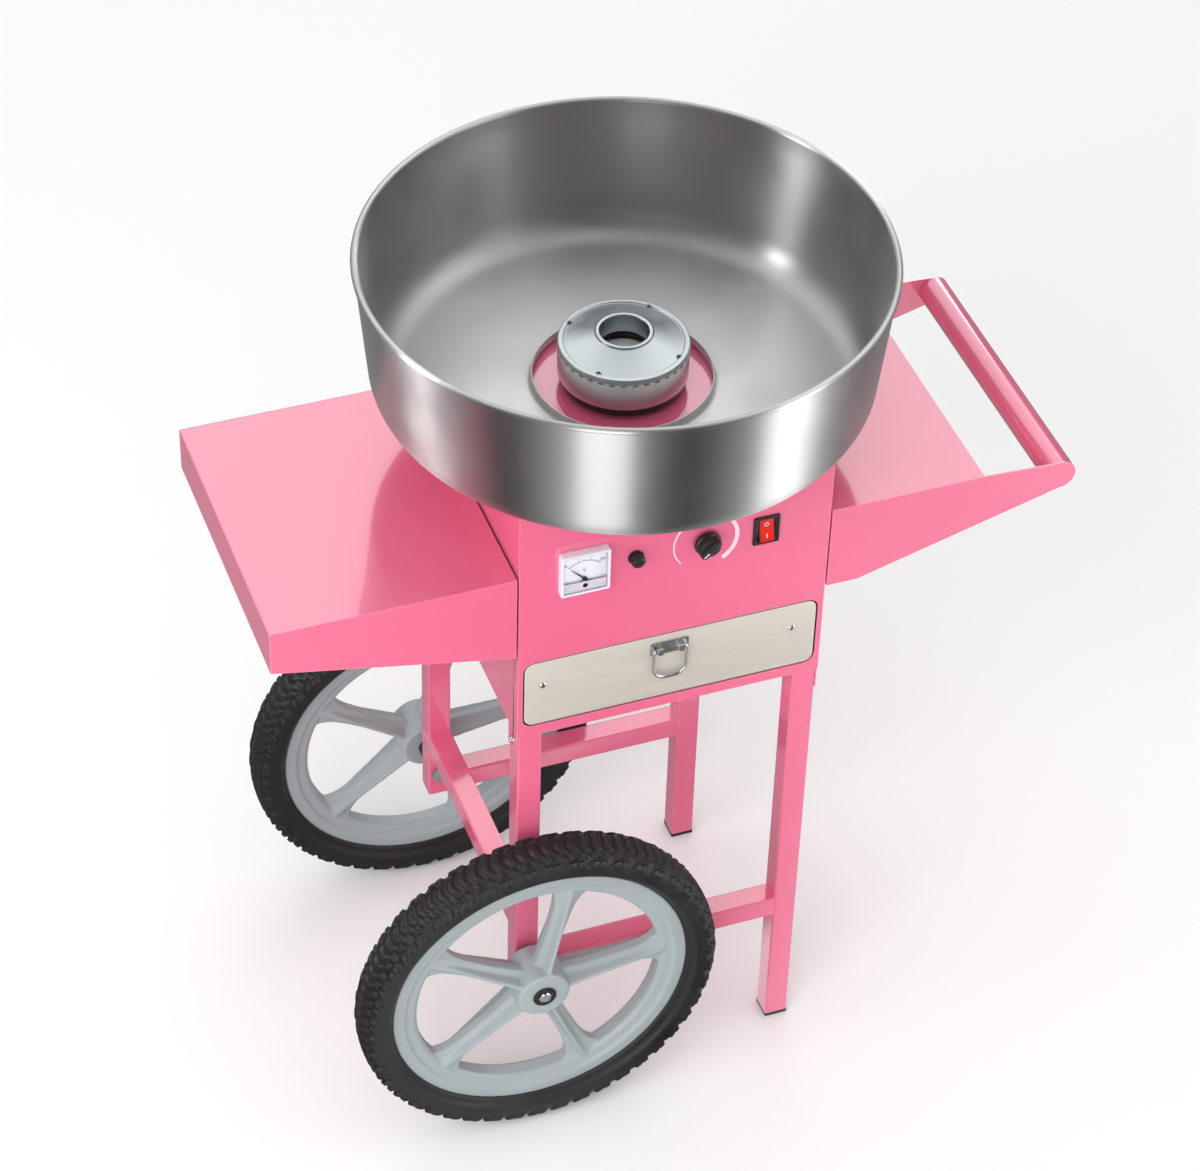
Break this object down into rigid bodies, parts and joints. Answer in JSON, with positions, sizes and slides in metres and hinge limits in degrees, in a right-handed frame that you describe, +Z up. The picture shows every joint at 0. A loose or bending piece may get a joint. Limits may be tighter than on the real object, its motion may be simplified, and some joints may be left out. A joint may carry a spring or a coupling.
{
  "type": "cotton candy machine",
  "caption": "Cart-mounted cotton candy machine with a steel bowl over a spinning head, side shelves, a storage drawer, a push handle and large spoked wheels.",
  "frame": {"origin": "on the ground, under the middle of the object's bounding box", "axes": "+Z up, -Y towards the operator's side with the controls and the drawer, +X towards the push handle"},
  "size_m": [0.825, 0.5198, 0.9578],
  "materials": {
    "pink_paint": "glossy powder coat",
    "bowl_steel": "spun and polished stainless",
    "head_aluminium": "turned and polished",
    "drawer_steel": "satin stainless",
    "tray_steel": "zinc coated",
    "bright_steel": "zinc or nickel plated",
    "spring_steel": "blackened",
    "rim_plastic": "moulded grey nylon",
    "tyre_rubber": "moulded rubber",
    "black_plastic": "moulded",
    "red_lens": "translucent lens",
    "meter_plastic": "moulded",
    "meter_dial": "printed sheet",
    "meter_glass": "clear",
    "needle_black": "painted",
    "fuse_glass": "clear",
    "motor_paint": "satin",
    "bearing_steel": "ground",
    "shaft_steel": "ground",
    "brass": "turned copper alloy",
    "carbon": "pressed carbon",
    "heater_steel": "oxidised",
    "board": "printed board"
  },
  "bodies": {
    "cart": {"front_left_leg": "pink_paint", "back_left_leg": "pink_paint", "front_right_leg": "pink_paint", "back_right_leg": "pink_paint", "front_rail": "pink_paint", "back_rail": "pink_paint", "cross_rail": "pink_paint", "foot_caps": "black_plastic", "left_shelf": "pink_paint", "right_shelf": "pink_paint", "handle_tube": "pink_paint", "panel_screws": "bright_steel", "front_axle": "bright_steel", "back_axle": "bright_steel", "wheel_spacers": "black_plastic", "push_nuts": "spring_steel", "front_panel": "pink_paint", "left_side_panel": "pink_paint", "right_side_panel": "pink_paint", "back_panel": "pink_paint", "top_deck": "pink_paint", "base_plate": "pink_paint", "drawer_runners": "tray_steel", "voltmeter_case": "meter_plastic", "voltmeter_dial": "meter_dial", "voltmeter_window": "meter_glass", "fuse_holder": "black_plastic", "fuse_cartridge": "fuse_glass", "potentiometer": "bright_steel", "switch_housing": "black_plastic", "motor_case": "motor_paint", "motor_bearings": "bearing_steel", "motor_standoffs": "bright_steel", "brush_holder": "black_plastic", "carbon_brushes": "carbon", "control_board": "board", "cable_gland": "black_plastic"},
    "front_wheel": {"front_wheel_rim": "rim_plastic", "front_tyre": "tyre_rubber"},
    "back_wheel": {"back_wheel_rim": "rim_plastic", "back_tyre": "tyre_rubber"},
    "drawer": {"drawer_tray": "tray_steel", "drawer_front": "drawer_steel", "handle_bracket": "bright_steel", "drawer_rivets": "drawer_steel"},
    "drawer_pull": {"handle_bail": "bright_steel"},
    "meter_pointer": {"voltmeter_needle": "needle_black"},
    "fuse_carrier": {"fuse_cap": "black_plastic"},
    "heat_knob": {"temperature_knob": "black_plastic", "dial_shaft": "bright_steel"},
    "power_rocker": {"switch_rocker": "red_lens"},
    "spinner": {"motor_shaft": "shaft_steel", "slip_rings": "brass", "spinner_pan": "head_aluminium", "heater_element": "heater_steel", "spinner_band": "head_aluminium", "spinner_cover": "head_aluminium", "spinner_screws": "bright_steel", "insulator_ring": "black_plastic"},
    "bowl": {"bowl": "bowl_steel"}
  },
  "joints": [
    {"name": "front_wheel_spin", "type": "hinge", "parent": "cart", "child": "front_wheel", "pos_m": [-0.154, -0.1885, 0.194], "axis": [0, 1, 0], "continuous": true},
    {"name": "back_wheel_spin", "type": "hinge", "parent": "cart", "child": "back_wheel", "pos_m": [-0.154, 0.1975, 0.194], "axis": [0, 1, 0], "continuous": true},
    {"name": "spinner_spin", "type": "hinge", "parent": "cart", "child": "spinner", "pos_m": [-0.009, 0, 0.8], "axis": [0, 0, 1], "continuous": true},
    {"name": "bowl_lift", "type": "slide", "parent": "cart", "child": "bowl", "axis": [0, 0, 1], "range_m": [0, 0.2]},
    {"name": "drawer_slide", "type": "slide", "parent": "cart", "child": "drawer", "axis": [0, -1, 0], "range_m": [0, 0.22]},
    {"name": "drawer_pull_swing", "type": "hinge", "parent": "drawer", "child": "drawer_pull", "pos_m": [-0.012, -0.1617, 0.595], "axis": [-1, 0, 0], "range_deg": [0, 90]},
    {"name": "knob_turn", "type": "hinge", "parent": "cart", "child": "heat_knob", "pos_m": [0.021, -0.165, 0.722], "axis": [0, 1, 0], "range_deg": [0, 270]},
    {"name": "rocker_tilt", "type": "hinge", "parent": "cart", "child": "power_rocker", "pos_m": [0.0825, -0.1565, 0.72], "axis": [1, 0, 0], "range_deg": [0, 24]},
    {"name": "fuse_cap_turn", "type": "hinge", "parent": "cart", "child": "fuse_carrier", "pos_m": [-0.051, -0.165, 0.722], "axis": [0, -1, 0], "range_deg": [0, 90]},
    {"name": "needle_swing", "type": "hinge", "parent": "cart", "child": "meter_pointer", "pos_m": [-0.104, -0.1621, 0.713], "axis": [0, 1, 0], "range_deg": [0, 90], "stiffness_Nm_per_rad": 0.0005, "springref_deg": -11.46}
  ]
}
